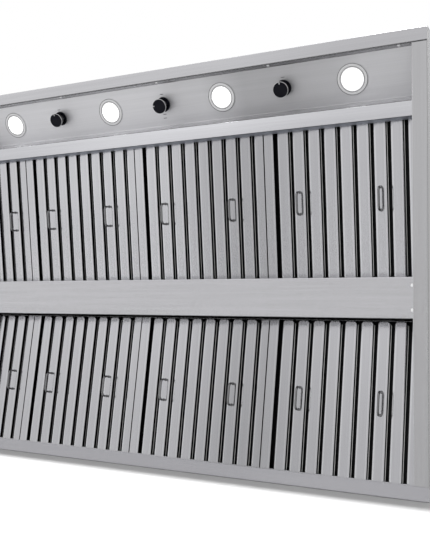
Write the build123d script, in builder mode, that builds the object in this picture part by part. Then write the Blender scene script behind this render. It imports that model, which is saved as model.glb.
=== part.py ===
from build123d import *
from math import cos, hypot, radians, sin, tan
import os

os.makedirs("parts", exist_ok=True)

# A range hood insert, in millimetres. The room is below it: Z = 0 is the underside of the rim,
# the front is at -Y, and the ducts leave at the top.

# Sheet metal
sheet = 1.2                 # casing sheet
bend = 2.0                  # outer radius of a fold
seat = 0.3                  # gap under a piece that rests on another
joint_gap = 0.3             # gap between two sheets that butt

# Casing
overall_width = 1178.0
casing_height = 340.0       # side walls, without the lid
rim_strip = 27.5            # flat rim all round the underside
top_flange = 18.0

# Control panel, tilted so that it faces the cook
panel_run = 85.8            # its depth, measured level
panel_tilt = 25.0
reveal_rise = 16.4          # upright face between the front strip and the panel
reveal_run = 20.9           # sloping face between the panel and the rail
fixture_line = 45.6         # lights and knobs, up the slope from the panel's front edge

# Rail and beam that carry the filters
rail_run = 27.9
beam_run = 78.8
rail_lap = 8.6              # how far each filter end lies over what carries it
beam_lap = 10.4
strip_lap = 6.4
beam_gap = 1.9              # rear filter's inner end to the beam's wall
front_ledge = 12.0
rail_ledge = 9.0
rear_ledge = 7.8
rail_fold = 24.0            # rail's fold behind the sloping face
front_seat_z = 29.4         # underside of a front filter at its outer end

# Baffle filters
filter_length = 322.0
filter_depth = 22.0
front_tilt = 4.35
rear_tilt = 10.5
filter_sheet = 0.8
slot_width = 10.2
slat_depth = 10.0
slat_bend = 3.5             # rolled edge of a slat
slat_hem = 1.3              # turned out at the end of each leg
full_slot_count = 9
narrow_slot_count = 4
full_filter_count = 3       # in each row, beside one narrow filter
edge_margin = 20.7          # filter's side to its first slot
wide_margin = 34.25         # the same at the narrow filter's wall side
filter_seam = 1.0           # between two filters
bank_gap = 20.7             # bank of filters to the side wall
cap_flange = 8.0
inner_flange = 3.0          # end cap's front flange at the inner end
rail_flange = 8.0
baffle_reach = 6.0          # how far a rear baffle reaches past its slot
baffle_foot = 6.0           # height of its feet

# Handles
wire_radius = 2.4
handle_length = 50.0
handle_drop = 18.0          # from the slat to the middle of the grip
handle_bend = 6.0
handle_place = 156.0        # from the filter's outer end
wire_side_count = 8

# Lights
light_count = 4
fitting_inset = 7.4         # width that the lights and knobs leave at each side
bezel_radius = 32.5
bezel_proud = 2.2
bezel_land = 4.5            # outer ring
bezel_groove = 1.0          # shadow line inside it
groove_depth = 1.4
can_radius = 28.0
can_height = 42.0
lens_radius = 21.8
lens_thickness = 2.5
lens_gap = 0.2
lens_shoulder = 1.5
hole_gap = 0.3              # a hole round what passes through it

# Knobs and the switches behind them
knob_count = 3
knob_base_radius = 14.0
knob_face_radius = 15.5
knob_ring_radius = 17.0
knob_ring_height = 2.0
knob_height = 23.0
knob_gap = 0.8              # knob to panel
knob_flute_count = 18
flute_size = 1.6
spindle_radius = 3.0
spindle_reach = 12.0        # into the switch
running_gap = 0.05
bushing_radius = 4.8
bushing_proud = 3.0
switch_radius = 15.0
switch_height = 22.0

# Blowers
wheel_radius = 78.0
wheel_half = 68.0
scroll_half = 75.0
scroll_gap = 8.0            # wheel to scroll at its narrowest
scroll_growth = 16.0        # in each quarter turn
scroll_axis_drop = 100.0    # lid's underside to the wheel's axis
outlet_flange = 12.0
inlet_radius = 66.0
inlet_lip = 5.0             # turned in towards the wheel
blade_count = 24
blade_depth = 12.0
blade_sheet = 0.9
blade_lean = 6.0
ring_height = 4.0
hub_radius = 16.0
hub_half = 12.0
shaft_radius = 6.0
motor_radius = 48.0
motor_inner_end = 20.0      # motor's end to the wheel's middle plate
motor_outer_end = 98.0
arm_width = 16.0
arm_sheet = 2.0
arm_overlap = 14.0          # arm over the scroll's side

# Duct collars and their flaps
collar_radius = 101.0
collar_height = 45.0
collar_flange = 14.0
collar_y = 60.0
flap_gap = 1.8              # flap to the collar's inside
flap_drop = 36.0            # flap's pin below the collar's rim
flap_stop = 4.0             # ledge that the closed flaps lie on
rod_radius = 2.5
barrel_radius = 4.2
barrel_gap = 0.3

# Fixings and services
screw_head = 3.2
screw_head_height = 1.5
screw_shank = 2.0
screw_length = 7.0
screw_gap = 0.15
reveal_screw_count = 5
reveal_screw_inset = 53.0   # from the side to the end screw
reveal_screw_z = 6.0
beam_screw_inset = 4.0      # from the strip's edge
beam_screw_pitch = 46.6
beam_tab = 18.0             # tab on each side strip that the beam is screwed to
beam_tab_width = 62.0
lid_screw_inset = 9.0
lid_screw_count = 4
hanger_radius = 4.5
hanger_inset = 40.0
knockout_radius = 11.1
box_length = 110.0
box_width = 74.0
box_height = 48.0
box_y = 270.0

# Places worked out from the sizes above, front to rear
panel_rise = panel_run * tan(radians(panel_tilt))
front_opening = filter_length * cos(radians(front_tilt)) - rail_lap - beam_lap
rear_opening = filter_length * cos(radians(rear_tilt)) + beam_gap - strip_lap
overall_depth = (2 * rim_strip + panel_run + reveal_run + rail_run + front_opening + beam_run
                 + rear_opening)
front_y = -overall_depth / 2
strip_front = front_y + rim_strip
panel_back = strip_front + panel_run
rail_front = panel_back + reveal_run
rail_back = rail_front + rail_run
beam_front = rail_back + front_opening
beam_back = beam_front + beam_run
strip_rear = beam_back + rear_opening
rear_y = strip_rear + rim_strip
half_width = overall_width / 2
fitting_pitch = (overall_width - 2 * fitting_inset) / light_count
reveal_screw_pitch = (overall_width - 2 * reveal_screw_inset) / (reveal_screw_count - 1)
blower_place = overall_width / 4
strip_side = half_width - rim_strip
inner_half = half_width - sheet - joint_gap
panel_back_z = reveal_rise + panel_rise
rear_seat_z = sheet + seat
bank_half = half_width - sheet - bank_gap
row_slot_count = full_filter_count * full_slot_count + narrow_slot_count
filter_count = full_filter_count + 1
slot_pitch = (2 * bank_half - (2 * filter_count - 1) * edge_margin - wide_margin
              - full_filter_count * filter_seam - filter_count * slot_width) / (row_slot_count - filter_count)
slat_width = slot_pitch - slot_width
full_width = 2 * edge_margin + full_slot_count * slot_pitch - slat_width
filter_pitch = full_width + filter_seam
scroll_radius = wheel_radius + scroll_gap
axis_z = casing_height - scroll_axis_drop
lid_top = casing_height + sheet
collar_top = lid_top + collar_height
flap_z = collar_top - flap_drop

front_plane = Plane(
    origin=(0, rail_back - rail_lap, front_seat_z),
    x_dir=(1, 0, 0),
    z_dir=(0, -sin(radians(front_tilt)), cos(radians(front_tilt))),
)
rear_plane = Plane(
    origin=(0, strip_rear + strip_lap, rear_seat_z),
    x_dir=(-1, 0, 0),
    z_dir=(0, sin(radians(rear_tilt)), cos(radians(rear_tilt))),
)


def keep(piece, name):
    """Label a finished sub-part and write it as one STEP file."""
    piece.part.label = name
    export_step(piece.part, f"parts/{name}.step")


def front_rest(y):
    """Height of the ledge under the front filters at y."""
    return front_seat_z + (y - front_plane.origin.Y) * tan(radians(front_tilt)) - seat


def rear_rest(y):
    """Height of the ledge under the rear filters at y."""
    return rear_seat_z + (rear_plane.origin.Y - y) * tan(radians(rear_tilt)) - seat


def fixture_plane(x):
    """The control panel's underside at x, its Z pointing up into the casing."""
    tilt = radians(panel_tilt)
    return Plane(
        origin=(x, strip_front + fixture_line * cos(tilt), reveal_rise + fixture_line * sin(tilt)),
        x_dir=(1, 0, 0),
        z_dir=(0, -sin(tilt), cos(tilt)),
    )


def folded(plane, points, half, radius=bend):
    """Add a folded sheet: points run along its outer face, and it lies to their left."""
    with BuildSketch(plane) as profile:
        with BuildLine():
            FilletPolyline(*points, radius=radius)
            offset(amount=sheet, side=Side.LEFT)
        make_face()
    extrude(profile.sketch, amount=half, both=True)


def block(low, high, mode=Mode.ADD):
    """Add or cut the box between two corners."""
    size = [high[axis] - low[axis] for axis in range(3)]
    with Locations(low):
        Box(*size, align=(Align.MIN, Align.MIN, Align.MIN), mode=mode)


def drill(plane, radius, depth, places=((0, 0),)):
    """Cut round holes both ways from a plane."""
    with BuildSketch(plane) as holes:
        with Locations(*places):
            Circle(radius)
    extrude(holes.sketch, amount=depth, both=True, mode=Mode.SUBTRACT)


def spread(count, pitch):
    """Places along X, even about the middle."""
    return [(i - (count - 1) / 2) * pitch for i in range(count)]


# Where the fixings and fittings are
fixture_planes = {
    "lights": [fixture_plane(x) for x in spread(light_count, fitting_pitch)],
    "knobs": [fixture_plane(x) for x in spread(knob_count, fitting_pitch)],
}
reveal_screw_xs = spread(reveal_screw_count, reveal_screw_pitch)
beam_middle = (beam_front + beam_back) / 2
beam_z = sheet + seat
beam_screw_places = [
    (side * (strip_side - beam_screw_inset), beam_middle + end * beam_screw_pitch / 2)
    for side in (-1, 1)
    for end in (-1, 1)
]
lid_screw_places = [
    (half_width * (2 * i + 1 - lid_screw_count) / lid_screw_count, end * (rear_y - lid_screw_inset))
    for i in range(lid_screw_count)
    for end in (-1, 1)
]
hanger_places = [
    (x * (half_width - hanger_inset), y * (rear_y - hanger_inset)) for x in (-1, 1) for y in (-1, 1)
]

# ---------------------------------------------------------------- casing

with BuildPart() as front_wall:
    lip_y = strip_front - sheet
    folded(
        Plane.YZ,
        [
            (front_y + top_flange, casing_height),
            (front_y, casing_height),
            (front_y, 0),
            (lip_y, 0),
            (lip_y, reveal_rise),
        ],
        half_width,
    )
    for side in (-1, 1):
        ends = sorted((side * inner_half, side * (half_width + 1)))
        block((ends[0], front_y + sheet, sheet), (ends[1], strip_front, casing_height + 1), Mode.SUBTRACT)
    drill(Plane.XZ.offset(-lip_y), screw_shank + screw_gap, 2 * sheet,
          [(x, reveal_screw_z) for x in reveal_screw_xs])
    drill(Plane.XY.offset(casing_height), screw_shank + screw_gap, 2 * sheet,
          [place for place in lid_screw_places if place[1] < 0])
keep(front_wall, "front_wall")

with BuildPart() as rear_wall:
    folded(
        Plane.YZ,
        [
            (strip_rear, 0),
            (rear_y, 0),
            (rear_y, casing_height),
            (rear_y - top_flange, casing_height),
        ],
        half_width,
    )
    for side in (-1, 1):
        ends = sorted((side * inner_half, side * (half_width + 1)))
        block((ends[0], strip_rear - 1, sheet), (ends[1], rear_y - sheet, casing_height + 1), Mode.SUBTRACT)
    drill(Plane.XY.offset(casing_height), screw_shank + screw_gap, 2 * sheet,
          [place for place in lid_screw_places if place[1] > 0])
keep(rear_wall, "rear_wall")


def side_wall(side):
    """Add the wall, rim strip and beam tab of one side: -1 is the left."""
    with BuildSketch(Plane.XZ) as profile:
        with BuildLine():
            FilletPolyline(
                (strip_side, 0),
                (half_width, 0),
                (half_width, casing_height),
                (half_width - top_flange, casing_height),
                radius=bend,
            )
            offset(amount=sheet, side=Side.LEFT)
        make_face()
    extrude(profile.sketch, amount=rear_y - sheet - joint_gap, both=True)
    for low, high in ((front_y, strip_front + joint_gap), (strip_rear - joint_gap, rear_y)):
        block((0, low, -1), (half_width + 1, high, sheet + joint_gap), Mode.SUBTRACT)
    for low, high in (
        (front_y, front_y + top_flange + joint_gap),
        (rear_y - top_flange - joint_gap, rear_y),
    ):
        block((0, low, casing_height - bend - 1), (inner_half, high, casing_height + 1), Mode.SUBTRACT)
    tab_front = beam_middle - beam_tab_width / 2
    tab_rear = beam_middle + beam_tab_width / 2
    tab_z = beam_z + sheet
    block((strip_side, tab_front, sheet), (strip_side + beam_tab, tab_rear, tab_z + sheet))
    block((strip_side - beam_tab, tab_front, tab_z), (strip_side, tab_rear, tab_z + sheet))
    drill(Plane.XY.offset(tab_z), screw_shank + screw_gap, 2 * sheet,
          [place for place in beam_screw_places if place[0] > 0])
    if side < 0:
        mirror(about=Plane.YZ, mode=Mode.REPLACE)


with BuildPart() as left_wall:
    side_wall(-1)
keep(left_wall, "left_wall")

with BuildPart() as right_wall:
    side_wall(1)
keep(right_wall, "right_wall")

with BuildPart() as top_panel:
    block((-half_width, front_y, casing_height), (half_width, rear_y, lid_top))
    lid = Plane.XY.offset(casing_height)
    outlet_radius = collar_radius - sheet - barrel_gap
    drill(lid, outlet_radius, 2 * sheet, [(-blower_place, collar_y), (blower_place, collar_y)])
    drill(lid, screw_shank + screw_gap, 2 * sheet, lid_screw_places)
    drill(lid, hanger_radius, 2 * sheet, hanger_places)
    drill(lid, knockout_radius, 2 * sheet, [(0, box_y)])
keep(top_panel, "top_panel")

with BuildPart() as control_panel:
    folded(
        Plane.YZ,
        [
            (strip_front, sheet + seat),
            (strip_front, reveal_rise),
            (panel_back, panel_back_z),
            (rail_front - reveal_run * (sheet + seat) / panel_back_z, sheet + seat),
        ],
        inner_half,
    )
    drill(Plane.XZ.offset(-strip_front), screw_shank + screw_gap, 2 * sheet,
          [(x, reveal_screw_z) for x in reveal_screw_xs])
    for plane in fixture_planes["lights"]:
        drill(plane, can_radius + hole_gap, 3 * sheet)
    for plane in fixture_planes["knobs"]:
        drill(plane, bushing_radius + hole_gap, 3 * sheet)
keep(control_panel, "control_panel")

with BuildPart() as front_rail:
    slope = hypot(reveal_run, panel_back_z)
    shift = sheet * slope / panel_back_z
    folded(
        Plane.YZ,
        [
            (rail_front + shift - rail_fold * reveal_run / slope, rail_fold * panel_back_z / slope),
            (rail_front + shift, 0),
            (rail_back, 0),
            (rail_back, front_rest(rail_back)),
            (rail_back - rail_ledge, front_rest(rail_back - rail_ledge)),
        ],
        inner_half,
    )
    for side in (-1, 1):
        ends = sorted((side * (strip_side - joint_gap), side * (half_width + 1)))
        block((ends[0], rail_front - 1, -1), (ends[1], rail_back + 1, sheet + seat), Mode.SUBTRACT)
keep(front_rail, "front_rail")

with BuildPart() as centre_beam:
    folded(
        Plane.YZ,
        [
            (beam_front + front_ledge, front_rest(beam_front + front_ledge)),
            (beam_front, front_rest(beam_front)),
            (beam_front, beam_z),
            (beam_back, beam_z),
            (beam_back, rear_rest(beam_back) - sheet),
            (beam_back + rear_ledge, rear_rest(beam_back + rear_ledge) - sheet),
        ],
        inner_half,
    )
    for side in (-1, 1):
        ends = sorted((side * (strip_side - joint_gap), side * (half_width + 1)))
        block((ends[0], beam_front + bend, 0), (ends[1], beam_back - bend, beam_z + 2 * sheet + seat),
              Mode.SUBTRACT)
    drill(Plane.XY.offset(beam_z), screw_shank + screw_gap, 2 * sheet, beam_screw_places)
keep(centre_beam, "centre_beam")


def screw(plane, places):
    """Add pan-head screws whose heads sit on the plane, shanks along its normal."""
    with BuildSketch(plane) as heads:
        with Locations(*places):
            Circle(screw_head)
    extrude(heads.sketch, amount=-screw_head_height)
    with BuildSketch(plane) as shanks:
        with Locations(*places):
            Circle(screw_shank)
    extrude(shanks.sketch, amount=screw_length)


with BuildPart() as casing_screws:
    screw(Plane.XZ.offset(-strip_front), [(x, reveal_screw_z) for x in reveal_screw_xs])
    screw(Plane.XY.offset(beam_z), beam_screw_places)
    screw(Plane(origin=(0, 0, lid_top), z_dir=(0, 0, -1)), [(x, -y) for x, y in lid_screw_places])
keep(casing_screws, "casing_screws")

with BuildPart() as junction_box:
    box_low = casing_height - box_height
    block((-box_length / 2, box_y - box_width / 2, box_low),
          (box_length / 2, box_y + box_width / 2, casing_height))
    offset(amount=-sheet, openings=junction_box.faces().sort_by(Axis.Z)[-1])
keep(junction_box, "junction_box")

# ---------------------------------------------------------------- filters


def cap_profile(plane, inner):
    """Draw a filter's end cap in section, on a plane across its length."""
    with BuildSketch(plane) as profile:
        with BuildLine():
            wall = filter_length if inner else 0
            toward = -1 if inner else 1
            front = inner_flange if inner else cap_flange
            points = [
                (wall + toward * front, 0),
                (wall, 0),
                (wall, filter_depth),
                (wall + toward * cap_flange, filter_depth),
            ]
            Polyline(*points)
            offset(amount=filter_sheet, side=Side.LEFT if inner else Side.RIGHT, kind=Kind.INTERSECTION)
        make_face()
    return profile.sketch


def across(row, x):
    """A plane across the row at x: its X runs along the filter, its Y up through it."""
    return Plane(origin=row.from_local_coords((x, 0, 0)), x_dir=row.y_dir, z_dir=row.x_dir)


def along(row, y):
    """A plane along the row at y: its X runs along the row, its Y up through the filter."""
    return Plane(origin=row.from_local_coords((0, y, 0)), x_dir=row.x_dir, z_dir=-row.y_dir)


def rail_outline(edge, margin, toward):
    """Corners of a side rail in section: its face, inner leg, wall and top flange."""
    top = filter_depth - filter_sheet
    slot = edge + toward * margin
    return [
        (slot + toward * slat_hem, filter_sheet + slat_depth),
        (slot, filter_sheet + slat_depth),
        (slot, filter_sheet + slat_bend),
        (slot - toward * slat_bend, filter_sheet),
        (edge, filter_sheet),
        (edge, top),
        (edge + toward * rail_flange, top),
    ]


def slat_outline(x):
    """Corners of a front slat in section: a channel with rolled edges, open to the rear."""
    half = slat_width / 2
    low = filter_sheet
    return [
        (x - half - slat_hem, low + slat_depth),
        (x - half, low + slat_depth),
        (x - half, low + slat_bend),
        (x - half + slat_bend, low),
        (x + half - slat_bend, low),
        (x + half, low + slat_bend),
        (x + half, low + slat_depth),
        (x + half + slat_hem, low + slat_depth),
    ]


def baffle_outline(x):
    """Corners of a rear baffle in section: a channel over one slot, open to the room."""
    half = slot_width / 2 + baffle_reach
    top = filter_depth - filter_sheet
    return [(x + half, baffle_foot), (x + half, top), (x - half, top), (x - half, baffle_foot)]


def channels(row, outlines, side=Side.LEFT, inset=filter_sheet):
    """Add channels that run the length of a filter, inset from its two ends."""
    for outline in outlines:
        with BuildSketch(along(row, inset)) as profile:
            with BuildLine():
                Polyline(*outline)
                offset(amount=filter_sheet, side=side, kind=Kind.INTERSECTION)
            make_face()
        extrude(profile.sketch, amount=-(filter_length - 2 * inset))


def filter_layout(number, mirrored):
    """Ends, slot centres and handle slats of filter 1 (narrow) to 4, in its row's own X."""
    right = bank_half - (full_filter_count + 1 - number) * filter_pitch
    left = -bank_half if number == 1 else right - full_width
    slots = narrow_slot_count if number == 1 else full_slot_count
    centres = [right - edge_margin - slot_width / 2 - i * slot_pitch for i in range(slots)]
    slats = [centre - slot_pitch / 2 for centre in centres[:-1]]
    grips = [slats[0], slats[-1]] if number == 1 else [slats[1], slats[-2]]
    margins = (centres[-1] - slot_width / 2 - left, edge_margin)
    if mirrored:
        flip = [[-x for x in group] for group in (centres, slats, grips)]
        return (-right, -left), margins[::-1], *flip
    return (left, right), margins, centres, slats, grips


def filter_frame(row, ends, margins):
    """Add the two end caps and two side rails of a filter."""
    for inner in (False, True):
        extrude(cap_profile(across(row, ends[0]), inner), amount=ends[1] - ends[0])
    channels(row, [rail_outline(ends[0], margins[0], 1)], Side.LEFT, filter_sheet / 2)
    channels(row, [rail_outline(ends[1], margins[1], -1)], Side.RIGHT, filter_sheet / 2)


def filter_handles(row, grips):
    """Add the bent wire handles, their feet on the slats."""
    low = handle_place - handle_length / 2 + wire_radius
    high = handle_place + handle_length / 2 - wire_radius
    for x in grips:
        with BuildLine(across(row, x)) as path:
            FilletPolyline(
                (low, filter_sheet),
                (low, -handle_drop),
                (high, -handle_drop),
                (high, filter_sheet),
                radius=handle_bend,
            )
        with BuildSketch(Plane(origin=path.line @ 0, z_dir=path.line % 0, x_dir=row.x_dir)) as wire:
            RegularPolygon(wire_radius, wire_side_count)
        sweep(wire.sketch, path=path.line)


for row_name, row, mirrored in (("front", front_plane, False), ("rear", rear_plane, True)):
    for number in range(1, full_filter_count + 2):
        ends, margins, centres, slats, grips = filter_layout(number, mirrored)
        name = f"{row_name}_filter_{number}"
        with BuildPart() as frame:
            filter_frame(row, ends, margins)
        keep(frame, f"{name}_frame")
        with BuildPart() as baffles:
            channels(row, [slat_outline(x) for x in slats])
            channels(row, [baffle_outline(x) for x in centres])
        keep(baffles, f"{name}_baffles")
        with BuildPart() as handles:
            filter_handles(row, grips)
        keep(handles, f"{name}_handles")

# ---------------------------------------------------------------- lights

for number, plane in enumerate(fixture_planes["lights"], 1):
    with BuildPart(plane) as light_housing:
        Cylinder(bezel_radius, bezel_proud, align=(Align.CENTER, Align.CENTER, Align.MAX))
        Cylinder(can_radius, can_height, align=(Align.CENTER, Align.CENTER, Align.MIN))
        chamfer(light_housing.edges().filter_by(GeomType.CIRCLE).group_by(SortBy.RADIUS)[-1][0:1], 0.6)
        with BuildSketch(plane.offset(-bezel_proud)) as groove:
            Circle(bezel_radius - bezel_land)
            Circle(bezel_radius - bezel_land - bezel_groove, mode=Mode.SUBTRACT)
        extrude(groove.sketch, amount=groove_depth, mode=Mode.SUBTRACT)
        with BuildSketch(plane.offset(-bezel_proud)) as lens_seat:
            Circle(lens_radius + lens_gap)
        extrude(lens_seat.sketch, amount=lens_thickness, mode=Mode.SUBTRACT)
        with BuildSketch(plane.offset(-bezel_proud)) as reflector:
            Circle(lens_radius - lens_shoulder)
        extrude(reflector.sketch, amount=can_height / 2, mode=Mode.SUBTRACT)
    keep(light_housing, f"light_{number}_housing")
    with BuildPart() as light_lens:
        with BuildSketch(plane.offset(-bezel_proud)) as lens:
            Circle(lens_radius)
        extrude(lens.sketch, amount=lens_thickness)
    keep(light_lens, f"light_{number}_lens")

# ---------------------------------------------------------------- knobs and switches


def knob_outline(plane):
    """Draw half of a knob with its spindle, to be turned about the plane's Y."""
    face = -knob_gap - knob_height
    ring_low = face + knob_ring_height
    ring_high = ring_low + knob_ring_height
    socket = bushing_radius + hole_gap + 1
    with BuildSketch(plane) as outline:
        with BuildLine():
            Polyline(
                (0, face),
                (knob_face_radius, face),
                (knob_face_radius, ring_low),
                (knob_ring_radius, ring_low),
                (knob_ring_radius, ring_high),
                (knob_face_radius, ring_high),
                (knob_base_radius, -knob_gap),
                (socket, -knob_gap),
                (socket, -bushing_proud - knob_gap),
                (spindle_radius, -bushing_proud - knob_gap),
                (spindle_radius, spindle_reach),
                (0, spindle_reach),
                close=True,
            )
        make_face()
    return outline.sketch


for name, plane in zip(("left", "middle", "right"), fixture_planes["knobs"]):
    upright = Plane(origin=plane.origin, x_dir=plane.x_dir, z_dir=-plane.y_dir)
    with BuildPart() as knob:
        revolve(knob_outline(upright), axis=Axis(plane.origin, plane.z_dir))
        flute_from = plane.offset(-knob_gap - knob_height + 2 * knob_ring_height)
        with BuildSketch(flute_from) as flutes:
            with PolarLocations(knob_face_radius + flute_size / 3, knob_flute_count):
                Rectangle(flute_size, flute_size, rotation=45)
        extrude(flutes.sketch, amount=knob_height, mode=Mode.SUBTRACT)
    keep(knob, f"knob_{name}")

with BuildPart() as rotary_switches:
    for plane in fixture_planes["knobs"]:
        with BuildSketch(plane.offset(sheet)) as body:
            Circle(switch_radius)
        extrude(body.sketch, amount=switch_height)
        with BuildSketch(plane.offset(-bushing_proud)) as bushing:
            Circle(bushing_radius)
        extrude(bushing.sketch, amount=bushing_proud + 2 * sheet)
        with BuildSketch(plane.offset(-bushing_proud)) as bore:
            Circle(spindle_radius + running_gap)
        extrude(bore.sketch, amount=bushing_proud + spindle_reach + 1, mode=Mode.SUBTRACT)
keep(rotary_switches, "rotary_switches")

# ---------------------------------------------------------------- blowers

outlet_left = -scroll_growth / 2 + scroll_radius * cos(radians(45))
outlet_right = scroll_growth / 2 + scroll_radius + 3 * scroll_growth
scroll_y = collar_y - (outlet_left + outlet_right) / 2


def scroll_outline(plane):
    """Draw the scroll: arcs that widen by one step each quarter, then the outlet."""
    step = scroll_growth / 2
    with BuildSketch(plane) as outline:
        with BuildLine():
            start = CenterArc((-step, step), scroll_radius, 45, 45)
            CenterArc((-step, -step), scroll_radius + scroll_growth, 90, 90)
            CenterArc((step, -step), scroll_radius + 2 * scroll_growth, 180, 90)
            last = CenterArc((step, step), scroll_radius + 3 * scroll_growth, 270, 90)
            Polyline(
                last @ 1,
                ((last @ 1).X, scroll_axis_drop),
                ((start @ 0).X, scroll_axis_drop),
                start @ 0,
            )
        make_face()
    return outline.sketch


def blade_outline():
    """Draw one blade in section, cupped towards the way the wheel turns."""
    turn = radians(blade_lean)
    middle_radius = wheel_radius - blade_depth / 2
    with BuildSketch() as outline:
        with BuildLine():
            Polyline(
                (wheel_radius - blade_depth, 0),
                (middle_radius * cos(turn / 4), middle_radius * sin(turn / 4)),
                (wheel_radius * cos(turn), wheel_radius * sin(turn)),
            )
            offset(amount=blade_sheet, side=Side.LEFT, kind=Kind.INTERSECTION)
        make_face()
    return outline.sketch


def blower(x):
    """A plane through the middle of a blower, across its axis."""
    return Plane(origin=(x, scroll_y, axis_z), x_dir=(0, 1, 0), z_dir=(1, 0, 0))


def disc(plane, radius, height, hole=0.0, mode=Mode.ADD):
    """Add a disc or ring that stands on the plane."""
    with BuildSketch(plane) as circle:
        Circle(radius)
        if hole:
            Circle(hole, mode=Mode.SUBTRACT)
    extrude(circle.sketch, amount=height, mode=mode)


for side_name, x in (("left", -blower_place), ("right", blower_place)):
    middle = blower(x)
    with BuildPart() as housing:
        extrude(scroll_outline(middle), amount=scroll_half, both=True)
        offset(amount=-sheet, openings=housing.faces().sort_by(Axis.Z)[-1], kind=Kind.INTERSECTION)
        disc(middle.offset(-scroll_half - 1), inlet_radius, 2 * scroll_half + 2, mode=Mode.SUBTRACT)
        for end in (-1, 1):
            disc(middle.offset(end * scroll_half), inlet_radius + sheet, -end * inlet_lip, inlet_radius)
        with BuildSketch(Plane.XY.offset(casing_height)) as rim:
            with Locations((x, collar_y)):
                Rectangle(2 * (collar_radius + outlet_flange), 2 * (collar_radius + outlet_flange))
                Rectangle(2 * (scroll_half - sheet), outlet_right - outlet_left - 2 * sheet,
                          mode=Mode.SUBTRACT)
        extrude(rim.sketch, amount=-sheet)
    keep(housing, f"blower_{side_name}_housing")

    with BuildPart() as impeller:
        disc(middle.offset(-sheet / 2), wheel_radius, sheet)
        for end in (-1, 1):
            disc(middle.offset(end * wheel_half), wheel_radius, -end * ring_height,
                 wheel_radius - blade_depth / 2)
        with BuildSketch(middle) as blades:
            with PolarLocations(0, blade_count):
                add(blade_outline())
        extrude(blades.sketch, amount=wheel_half, both=True)
        disc(middle.offset(-hub_half), hub_radius, 2 * hub_half)
        disc(middle.offset(-motor_inner_end - 2 * hub_half), shaft_radius, motor_inner_end + 3 * hub_half)
    keep(impeller, f"blower_{side_name}_impeller")

    with BuildPart() as motor:
        disc(middle.offset(-motor_outer_end), motor_radius, motor_outer_end - motor_inner_end)
        chamfer(motor.edges().filter_by(GeomType.CIRCLE), 4)
        with BuildSketch(middle.offset(-scroll_half)) as arms:
            reach = inlet_radius + arm_overlap
            with PolarLocations(reach / 2, 3, start_angle=90):
                Rectangle(reach, arm_width)
        extrude(arms.sketch, amount=-arm_sheet)
        disc(middle.offset(-motor_inner_end - 3 * hub_half), shaft_radius + running_gap,
             4 * hub_half, mode=Mode.SUBTRACT)
    keep(motor, f"blower_{side_name}_motor")

# ---------------------------------------------------------------- duct collars and flaps

flap_radius = collar_radius - sheet - flap_gap
barrel_run = flap_radius / 2


def flap_half(x, toward):
    """Add half a round flap, its barrels on the pin; toward is the side it lies on, 1 to the rear."""
    start = barrel_radius + barrel_gap
    pin = Plane(origin=(x, collar_y, flap_z), x_dir=(1, 0, 0), z_dir=(0, 0, 1))
    with BuildSketch(pin) as plate:
        Circle(flap_radius)
        with Locations((0, -toward * flap_radius)):
            Rectangle(2 * flap_radius, 2 * flap_radius, mode=Mode.SUBTRACT)
        with Locations((0, toward * start / 2)):
            Rectangle(2 * flap_radius, start, mode=Mode.SUBTRACT)
        for begin in (-flap_radius, 0):
            low = begin + (0 if toward > 0 else barrel_run) + barrel_gap
            with Locations((low + barrel_run / 2 - barrel_gap, toward * start / 2)):
                Rectangle(barrel_run - 4 * barrel_gap, start + 1)
    extrude(plate.sketch, amount=sheet / 2, both=True)
    for begin in (-flap_radius, 0):
        low = begin + (0 if toward > 0 else barrel_run)
        tube = Plane(origin=(x + low + 2 * barrel_gap, collar_y, flap_z), x_dir=(0, 1, 0), z_dir=(1, 0, 0))
        length = barrel_run - 4 * barrel_gap
        disc(tube, barrel_radius, length)
        disc(tube.offset(-1), rod_radius + running_gap, length + 2, mode=Mode.SUBTRACT)


for side_name, x in (("left", -blower_place), ("right", blower_place)):
    foot = Plane(origin=(x, collar_y, lid_top), x_dir=(1, 0, 0), z_dir=(0, 0, 1))
    with BuildPart() as duct_collar:
        disc(foot.offset(flap_z - lid_top - sheet / 2 - seat), collar_radius - sheet / 2, -sheet,
             collar_radius - sheet - flap_stop)
        block((x - collar_radius, collar_y - 2 * barrel_radius, flap_z - 3 * sheet),
              (x + collar_radius, collar_y + 2 * barrel_radius, flap_z), Mode.SUBTRACT)
        disc(foot, collar_radius, collar_height, collar_radius - sheet)
        disc(foot, collar_radius + collar_flange, sheet, collar_radius - sheet)
        drill(Plane(origin=(x, collar_y, flap_z), x_dir=(0, 1, 0), z_dir=(1, 0, 0)),
              rod_radius + running_gap, collar_radius + 1)
    keep(duct_collar, f"duct_collar_{side_name}")
    for flap_name, toward in (("front", -1), ("rear", 1)):
        with BuildPart() as flap:
            flap_half(x, toward)
        keep(flap, f"damper_flap_{side_name}_{flap_name}")

with BuildPart() as damper_rods:
    for x in (-blower_place, blower_place):
        pin = Plane(origin=(x - collar_radius, collar_y, flap_z), x_dir=(0, 1, 0), z_dir=(1, 0, 0))
        disc(pin, rod_radius, 2 * collar_radius)
keep(damper_rods, "damper_rods")
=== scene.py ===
"""Range hood insert: its looks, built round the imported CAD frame.

Everything is in metres in the frame's own axes: Z = 0 is the underside of the rim, the front is at -Y.
"""

import json
from math import atan2, cos, pi, radians, sin, tan

import bmesh
import bpy
from mathutils import Matrix, Vector


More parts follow.
